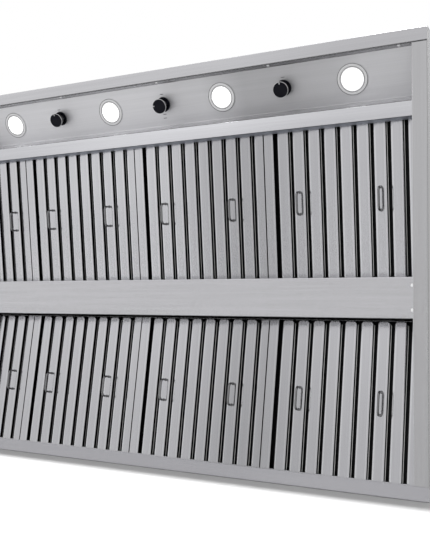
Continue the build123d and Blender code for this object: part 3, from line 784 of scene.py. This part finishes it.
class HOOD_OT_filters(bpy.types.Operator):
    """Build the eight baffle filters"""

    bl_idname = "hood.filters"
    bl_label = "Filters"

    def execute(self, context):
        settings = context.scene.hood_filters
        finishes = context.scene.hood_finishes.load()
        slat = make_slat(settings)
        paint(slat, *(finishes[key] for key in FILTER_STEEL))
        baffle = make_baffle(settings)
        paint(baffle, finishes["baffle"])
        for row in ROWS:
            for number in range(1, FULL_FILTERS + 2):
                build_filter(row, number, settings, finishes, slat, baffle)
        discard(slat)
        discard(baffle)
        return {"FINISHED"}


# ---------------- handles

WELD_HEIGHT = 0.0012


def make_handle(settings):
    """A bent wire handle in the filter's own axes, its middle at Y = 0."""
    reach = settings.length / 2 - settings.radius
    bend, drop = settings.bend, settings.drop
    points = [Vector((0, -reach, WELD_HEIGHT - 0.0004)), Vector((0, -reach, -drop + bend))]
    steps = 8
    for i in range(1, steps + 1):
        angle = pi / 2 * i / steps
        points.append(Vector((0, -reach + bend - bend * cos(angle), -drop + bend - bend * sin(angle))))
    points += [Vector((0, -point.y, point.z)) for point in reversed(points)]
    lay_down()
    bpy.ops.curve.primitive_nurbs_path_add()
    line = bpy.context.object
    line.data.splines.clear()
    spline = line.data.splines.new("POLY")
    spline.points.add(len(points) - 1)
    for knot, point in zip(spline.points, points):
        knot.co = (*point, 1)
    line.data.bevel_depth = settings.radius
    line.data.bevel_resolution = 4
    line.data.use_fill_caps = True
    bpy.ops.object.convert(target="MESH")
    parts = [bpy.context.object]
    for end in (-1, 1):
        foot = disc("weld", settings.radius * 1.35, WELD_HEIGHT, (0, end * reach, 0.0004), 20)
        pick(foot, "edges", lambda edge: not runs_along(edge, 2) and edge_middle(edge).z < 0)
        bevel_picked(0.0005)
        parts.append(foot)
    handle = joined(parts, "handle")
    outwards(handle)
    smooth(handle, 50)
    return handle


class HOOD_OT_handles(bpy.types.Operator):
    """Build the filters' wire handles"""

    bl_idname = "hood.handles"
    bl_label = "Handles"

    def execute(self, context):
        settings = context.scene.hood_handles
        filters = context.scene.hood_filters
        finishes = context.scene.hood_finishes.load()
        handle = make_handle(settings)
        for row, matrix in ROWS.items():
            for number in range(1, FULL_FILTERS + 2):
                name = f"{row}_filter_{number}"
                grips = filter_layout(row, number, filters)[3]
                up = settings.place + GRIPS_INWARD[row][number - 1]
                pair = [copy_at(handle, "grip", matrix @ Matrix.Translation((x, up, 0))) for x in grips]
                pair = joined(pair, f"{name}_wires")
                paint(pair, finishes["wire"])
                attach(pair, name)
                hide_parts(f"{name}_handles")
        discard(handle)
        return {"FINISHED"}


# ---------------- lights

LIGHT_STEPS = (  # from a light's rim inwards, the width and height of each
    (0.0009, 0.0001), (0.0002, -0.0008), (0.0007, 0.0), (0.0002, 0.0008), (0.0047, 0.0), (0.0002, -0.0006),
    (0.0006, 0.0), (0.0002, 0.0006), (0.0018, 0.0), (0.0004, -0.0006),
)
LIGHT_GROOVES = ((0.0010, 0.0019), (0.0068, 0.0075))  # where those steps are grooves, painted dark as shade
LENS_STEPS = ((0.0004, 0.0003), (0.0018, 0.0002), (0.006, 0.0002), (0.006, 0.0001))
LENS_THICKNESS, LENS_RIM = 0.002, 0.0022


def make_light(settings):
    """A light's ring and body: steps inset into a disc, then its can drawn up behind.

    The grooves are number 1, painted dark as shade, and the land outside them is number 2.
    """
    proud = settings.bezel_proud
    piece = disc("light", settings.bezel, proud, (0, 0, -proud / 2))
    pick(piece, "faces", faces_room)
    inset_steps(LIGHT_STEPS)
    pick(piece, "faces", lambda face: faces_casing(face) and len(face.verts) > 8)
    bpy.ops.mesh.inset(thickness=settings.bezel - settings.can)
    extrude_by((0, 0, settings.can_height))
    bpy.ops.mesh.inset(thickness=0.004)
    extrude_by((0, 0, -0.002))
    soften(piece, 0.0001)
    smooth(piece)
    for face in piece.data.polygons:
        inward = settings.bezel - face.center.xy.length
        if face.center.z < 0 and any(low < inward < high for low, high in LIGHT_GROOVES):
            face.material_index = 1
        elif face.center.z < 0 and inward < LIGHT_GROOVES[0][0]:
            face.material_index = 2
    return piece


def make_lens(settings):
    """A light's lens, a little domed, its rim number 1."""
    middle = (0, 0, LENS_THICKNESS / 2 - settings.bezel_proud)
    piece = disc("lens", settings.lens, LENS_THICKNESS, middle)
    pick(piece, "faces", faces_room)
    inset_steps(LENS_STEPS)
    smooth(piece, 60)
    for face in piece.data.polygons:
        if face.center.xy.length > settings.lens - LENS_RIM:
            face.material_index = 1
    return piece


class HOOD_OT_lights(bpy.types.Operator):
    """Build the four recessed lights"""

    bl_idname = "hood.lights"
    bl_label = "Lights"

    def execute(self, context):
        settings = context.scene.hood_fittings
        finishes = context.scene.hood_finishes.load()
        light = make_light(settings)
        lens = make_lens(settings)
        for number in range(1, 5):
            down = Matrix.Translation((0, settings.light_down, 0))
            matrix = fixture_plane(f"light_{number}_housing") @ down
            ring = copy_at(light, f"light_{number}_ring", matrix)
            paint(ring, finishes["nickel"], finishes["groove"], finishes["panel"])
            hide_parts(f"light_{number}_housing")
            glass = copy_at(lens, f"light_{number}_glass", matrix)
            paint(glass, finishes["lens"], finishes["lens_rim"])
            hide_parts(f"light_{number}_lens")
            for piece in (ring, glass):
                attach(piece, "casing")
        for piece in (light, lens):
            discard(piece)
        return {"FINISHED"}


# ---------------- knobs

KNOB_RIBS = 60
KNOB_CAP, KNOB_SKIRT, KNOB_BAND = 0.0050, 0.0026, 0.0014  # heights of a knob's face, foot and bright ring
FACE_STEPS = ((0.0008, 0.0), (0.0006, -0.0004), (0.006, -0.0001), (0.005, 0.0))
POINTER_SIZE = (0.0018, 0.0042, 0.0012)
KNOB_TURNS = {"left": 0.0, "middle": radians(-80), "right": 0.0}
MARKS = ((-0.291, -0.3913), (-0.0004, -0.3926), (0.2914, -0.3917), (-0.003, -0.352), (-0.004, -0.3444))
MARK_SIZE = (0.0085, 0.0016, 0.0002)


def is_rib(face):
    """Every second side of a knob's body."""
    middle = face.calc_center_median()
    turn = atan2(middle.y, middle.x) / (2 * pi / KNOB_RIBS)
    return abs(face.normal.z) < 0.5 and round(turn - 0.5) % 2 == 0


def make_knob(settings):
    """A knob: a ribbed body, a dished face in front of it and a skirt at its foot. Its sides are number 1."""
    top = -settings.knob_gap - settings.knob_height
    height = settings.knob_height - 0.0070
    lay_down()
    bpy.ops.mesh.primitive_cone_add(
        vertices=KNOB_RIBS, radius1=settings.knob_face - 0.0003, radius2=settings.knob_base - 0.0035,
        depth=height, location=(0, 0, top + KNOB_CAP - 0.0005 + height / 2),
    )
    body = started("knob_body")
    pick(body, "faces", is_rib)
    bpy.ops.mesh.inset(thickness=0.00012, depth=-0.0007, use_individual=True)
    pick(body, "faces", faces_casing)
    bpy.ops.mesh.inset(thickness=0.0015)
    extrude_by((0, 0, 0.0018))
    cap = disc("knob_cap", settings.knob_face, KNOB_CAP, (0, 0, top + KNOB_CAP / 2))
    pick(cap, "faces", faces_room)
    inset_steps(FACE_STEPS)
    soften(cap, 0.0004)
    skirt = disc("knob_skirt", settings.knob_base, KNOB_SKIRT, (0, 0, -settings.knob_gap - KNOB_SKIRT / 2))
    pick(skirt, "faces", faces_casing)
    bpy.ops.mesh.inset(thickness=settings.knob_base - 0.0062)
    extrude_by((0, 0, -0.002))
    soften(skirt, 0.0007, 3)
    knob = joined([body, cap, skirt], "knob")
    smooth(knob, 32)
    for face in knob.data.polygons:
        if face.normal.z > -0.5:
            face.material_index = 1
    return knob


def make_knob_ring(settings):
    """The bright ring round a knob's face."""
    low = -settings.knob_gap - settings.knob_height + 0.0020
    ring = disc("knob_ring", settings.knob_ring - 0.0004, KNOB_BAND, (0, 0, low + KNOB_BAND / 2))
    for faces_out in (faces_room, faces_casing):
        pick(ring, "faces", lambda face: faces_out(face) and len(face.verts) > 8)
        bpy.ops.mesh.inset(thickness=settings.knob_ring - settings.knob_face - 0.0003)
    pick(ring, "faces", lambda face: abs(face.normal.z) > 0.9 and len(face.verts) > 8)
    bpy.ops.mesh.bridge_edge_loops()
    outwards(ring)
    soften(ring, 0.0005, 3)
    smooth(ring)
    return ring


def make_pointer(settings):
    """The pointer let into a knob's face, at its Y side."""
    middle = settings.knob_face - 0.0022
    top = -settings.knob_gap - settings.knob_height
    pointer = block("pointer", POINTER_SIZE, (0, middle, top + 0.0002))
    pick(pointer, "edges", lambda edge: runs_along(edge, 2) and edge_middle(edge).y < middle)
    bevel_picked(0.0006)
    soften(pointer, 0.0002, 1)
    return pointer


class HOOD_OT_knobs(bpy.types.Operator):
    """Build the three knobs, their pointers and the marks printed round them"""

    bl_idname = "hood.knobs"
    bl_label = "Knobs"

    def execute(self, context):
        settings = context.scene.hood_fittings
        finishes = context.scene.hood_finishes.load()
        knob = make_knob(settings)
        ring = make_knob_ring(settings)
        pointer = make_pointer(settings)
        for name, turn in KNOB_TURNS.items():
            plane = fixture_plane(f"knob_{name}")
            upright = plane @ Matrix.Rotation(pi, 4, "Z") @ Matrix.Rotation(turn, 4, "Z")
            body = copy_at(knob, f"{name}_knob_body", upright)
            paint(body, finishes["knob"], finishes["knob_side"])
            band = copy_at(ring, f"{name}_knob_band", upright)
            line = copy_at(pointer, f"{name}_knob_pointer", upright)
            for piece in (band, line):
                paint(piece, finishes["nickel"])
            for piece in (body, band, line):
                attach(piece, f"{name}_knob")
            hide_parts(f"knob_{name}")
        for piece in (knob, ring, pointer):
            discard(piece)
        build_marks(finishes)
        return {"FINISHED"}


def build_marks(finishes):
    """Short dashes printed on the panel beside the knobs."""
    marks = []
    for x, y in MARKS:
        mark = block("mark", MARK_SIZE)
        pick(mark, "edges", lambda edge: runs_along(edge, 2))
        bevel_picked(0.0007)
        lay_down()
        mark.data.transform(on_panel((x, y, PANEL_Z + (y - PANEL_Y) * tan(PANEL_TILT))))
        marks.append(mark)
    marks = joined(marks, "panel_marks")
    paint(marks, finishes["print"])
    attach(marks, "casing")


# ---------------- screws

REVEAL_Y = -0.41379  # the panel's upright face
BEAM_MIDDLE = (0.022882 + 0.101682) / 2


def make_screw(settings):
    """A pan head with a cross recess, its seat at Z = 0 and its head towards -Z."""
    height = settings.screw_height
    head = disc("screw", settings.screw, height, (0, 0, -height / 2), 32)
    pick(head, "edges", lambda edge: edge_middle(edge).z < -height * 0.9)
    bevel_picked(0.0009, 4)
    for turn in (0, pi / 2):
        cutter = block("cutter", (0.0032, 0.0008, 0.0014), (0, 0, -height), turn)
        modify(head, "BOOLEAN", operation="DIFFERENCE", solver="EXACT", object=cutter)
        discard(cutter)
    smooth(head, 40)
    return head


def screw_places():
    """Seats of the screws that show: (point, the way the head faces)."""
    reveal = [((i * 0.268, REVEAL_Y, 0.006), (0, 1, 0)) for i in range(-2, 3)]
    beam = [((side * 0.5592, BEAM_MIDDLE + end * 0.0233, 0.0015), (0, 0, -1))
            for side in (-1, 1) for end in (-1, 1)]
    lid = [((0.589 * (2 * i - 3) / 4, end * 0.43229, 0.3412), (0, 0, 1)) for i in range(4) for end in (-1, 1)]
    return reveal + beam + lid


class HOOD_OT_screws(bpy.types.Operator):
    """Build the screws' heads"""

    bl_idname = "hood.screws"
    bl_label = "Screws"

    def execute(self, context):
        finishes = context.scene.hood_finishes.load()
        screw = make_screw(context.scene.hood_fittings)
        heads = []
        for i, (place, way) in enumerate(screw_places()):
            turn = Vector((0, 0, -1)).rotation_difference(Vector(way)).to_matrix().to_4x4()
            lean = Matrix.Rotation(radians(17 * i), 4, "Z")
            heads.append(copy_at(screw, "head", Matrix.Translation(place) @ turn @ lean))
        heads = joined(heads, "screw_heads")
        paint(heads, finishes["screw"])
        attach(heads, "casing")
        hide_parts("casing_screws")
        discard(screw)
        return {"FINISHED"}


# ---------------- casing and what is inside

CASING_FINISHES = {
    "front_wall": "front", "rear_wall": "rear", "left_wall": "side", "right_wall": "side", "top_panel": "lid",
    "control_panel": "panel", "centre_beam": "beam", "junction_box": "galvanised", "damper_rods": "screw",
    "rotary_switches": "switch",
}
RAIL_HALF, RAIL_SHEET = 0.5607, 0.0012
RAIL_PATH = ((-0.31415, 0.0225), (-0.30581, 0.0), (-0.27770, 0.0), (-0.27770, 0.02985), (-0.28819, 0.02907))
SIDE_HEM = (0.0014, 2 * 0.4137, 0.0013)
SIDE_HEM_X = 0.5613


def make_rail(finishes):
    """The front rail with crisp folds: its face, its rear wall and the ledge for the filters.

    The rear wall is number 1.
    """
    rail = folded_sheet("rail_face", RAIL_PATH, 2 * RAIL_HALF, RAIL_SHEET, (0.0008, 0.0007, 0.0007), 4)
    rail.data.transform(place_on((RAIL_HALF, 0, 0), (0, 1, 0), (-1, 0, 0)))
    smooth(rail)
    for face in rail.data.polygons:
        if face.normal.y > 0.7 and face.center.z > 0.0004:
            face.material_index = 1
    paint(rail, finishes["rail"], finishes["rail_wall"])
    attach(rail, "casing")
    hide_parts("front_rail")


def make_side_hems(finishes):
    """A hem along the inner edge of each side strip, its steel painted bright as a highlight."""
    hems = []
    for side in (-1, 1):
        hem = block("hem", SIDE_HEM, (side * SIDE_HEM_X, 0, SIDE_HEM[2] / 2))
        soften(hem, 0.0005, 3)
        hems.append(hem)
    hems = joined(hems, "side_hems")
    smooth(hems)
    paint(hems, finishes["side_edge"])
    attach(hems, "casing")


class HOOD_OT_casing(bpy.types.Operator):
    """Finish the casing, the ducts and the blowers"""

    bl_idname = "hood.casing"
    bl_label = "Casing"

    def execute(self, context):
        finishes = context.scene.hood_finishes.load()
        for node, finish in CASING_FINISHES.items():
            paint(nodes[node], finishes[finish])
        for side in ("left", "right"):
            for node in (f"blower_{side}_housing", f"blower_{side}_impeller", f"duct_collar_{side}",
                         f"damper_flap_{side}_front", f"damper_flap_{side}_rear"):
                paint(nodes[node], finishes["galvanised"])
            paint(nodes[f"blower_{side}_motor"], finishes["motor"])
        make_rail(finishes)
        make_side_hems(finishes)
        return {"FINISHED"}


# ---------------- stage


def stage_material(name, tone):
    """A pale surface that only the camera sees, and only from its front."""
    made, finish = material(name)
    light_path = finish.node("ShaderNodeLightPath")
    geometry = finish.node("ShaderNodeNewGeometry")
    mottle = finish.noise(3.0)
    shade = finish.tinted(0.99 + mottle * 0.02, tone)
    pale = finish.out(finish.node("ShaderNodeBsdfPrincipled", Base_Color=shade, Roughness=0.9))
    clear = finish.out(finish.node("ShaderNodeBsdfTransparent"))
    seen = finish.out(light_path, "Is Camera Ray") * (1.0 - finish.out(geometry, "Backfacing"))
    shader = finish.node("ShaderNodeMixShader", i0=seen, i1=clear, i2=pale)
    finish.node("ShaderNodeOutputMaterial", Surface=finish.out(shader))
    return made


def build_stage_plane(name, place, turn, finish):
    lay_down()
    bpy.ops.mesh.primitive_plane_add(size=8, location=place, rotation=turn)
    plane = bpy.context.object
    plane.name = name
    bpy.ops.object.transform_apply(location=True, rotation=True, scale=True)
    paint(plane, finish)


def build_world(scene, level):
    """White to the camera; for the rest a studio that is brighter in front, to the left and low down."""
    world = bpy.data.worlds.new("studio")
    world.use_nodes = True
    scene.world = world
    finish = Finish(world.node_tree)
    x, y, z = finish.split(finish.coordinates("Generated"))
    upright = finish.math("ABSOLUTE", z)
    skyline = z.above(-0.06, 0.14) * z.above(0.60, -0.25)
    dusk = 1.0 - skyline * 0.74 - z.above(0.30, 0.20) * 0.25
    strength = level * (1.06 + (0.0 - x) * 0.10 + (0.0 - y) * 0.28 - upright * 0.10) * dusk
    camera = finish.out(finish.node("ShaderNodeLightPath"), "Is Camera Ray")
    total = strength * (1.0 - camera) + camera
    background = finish.node("ShaderNodeBackground", Color=(1, 1, 1, 1), Strength=total)
    finish.node("ShaderNodeOutputWorld", Surface=finish.out(background))


SUNS = {  # strength, angle in degrees and the way the light goes
    "front sun": (7.0, 3.0, (0.10, 1.0, -0.056)),
    "top sun": (1.0, 40.0, (0.3, 0.4, -1.0)),
}


def build_sun(name, strength, angle, way):
    lay_down()
    turn = Vector((0, 0, -1)).rotation_difference(Vector(way))
    bpy.ops.object.light_add(type="SUN", rotation=turn.to_euler())
    sun = bpy.context.object
    sun.name = name
    sun.data.energy = strength
    sun.data.angle = radians(angle)


def build_camera(scene, settings):
    turn, roll = settings.camera_turn, settings.camera_roll
    level_right = Vector((cos(turn), 0, sin(turn)))
    level_up = Vector((0, -1, 0))
    right = cos(roll) * level_right + sin(roll) * level_up
    up = cos(roll) * level_up - sin(roll) * level_right
    lay_down()
    bpy.ops.object.camera_add()
    camera = bpy.context.object
    camera.name = "camera"
    camera.matrix_world = place_on(settings.camera_place, right, up)
    camera.data.sensor_fit = "AUTO"
    camera.data.sensor_width = 36
    camera.data.lens = settings.lens
    camera.data.shift_y = settings.shift
    camera.data.clip_start = 0.05
    scene.camera = camera


class HOOD_OT_stage(bpy.types.Operator):
    """Build the floor, the backdrop, the light and the camera"""

    bl_idname = "hood.stage"
    bl_label = "Stage"

    def execute(self, context):
        scene = context.scene
        settings = scene.hood_stage
        pale = stage_material("pale paper", settings.floor)
        gap = 0.001
        build_stage_plane("floor", (0, 0, cad_box[0][2] - gap), (0, 0, 0), pale)
        build_stage_plane("backdrop", (0, cad_box[1][1] + gap, 0), (pi / 2, 0, 0), pale)
        build_world(scene, settings.world_level)
        for name, (strength, angle, way) in SUNS.items():
            build_sun(name, strength, angle, way)
        build_camera(scene, settings)
        scene.view_settings.view_transform = "Standard"
        return {"FINISHED"}


# ---------------- panel and registration


class HoodFinishes(bpy.types.PropertyGroup):
    """Makes the finishes once and finds them again by name."""

    names: bpy.props.StringProperty(name="Finishes", description="Finishes that are made already", default="")

    def load(self):
        if not self.names:
            made = all_finishes(self.id_data)
            self.names = json.dumps({key: finish.name for key, finish in made.items()})
        return {key: bpy.data.materials[name] for key, name in json.loads(self.names).items()}


STEPS = ("stage", "casing", "filters", "handles", "lights", "knobs", "screws")


class HOOD_PT_build(bpy.types.Panel):
    """The steps that build the hood's looks"""

    bl_idname = "HOOD_PT_build"
    bl_label = "Range Hood Insert"
    bl_space_type = "VIEW_3D"
    bl_region_type = "UI"
    bl_category = "Hood"

    def draw(self, context):
        for step in STEPS:
            self.layout.operator(f"hood.{step}")


SETTINGS = {
    "hood_stage": HoodStageSettings,
    "hood_steel": HoodSteelSettings,
    "hood_filters": HoodFilterSettings,
    "hood_handles": HoodHandleSettings,
    "hood_fittings": HoodFittingSettings,
    "hood_finishes": HoodFinishes,
}
CLASSES = (
    *SETTINGS.values(), HOOD_OT_stage, HOOD_OT_casing, HOOD_OT_filters, HOOD_OT_handles, HOOD_OT_lights,
    HOOD_OT_knobs, HOOD_OT_screws, HOOD_PT_build,
)


def register():
    for entry in CLASSES:
        bpy.utils.register_class(entry)
    for name, group in SETTINGS.items():
        setattr(bpy.types.Scene, name, bpy.props.PointerProperty(type=group))


def unregister():
    for name in SETTINGS:
        delattr(bpy.types.Scene, name)
    for entry in reversed(CLASSES):
        bpy.utils.unregister_class(entry)


def main():
    register()
    for step in STEPS:
        getattr(bpy.ops.hood, step)()


if __name__ == "__main__":
    main()
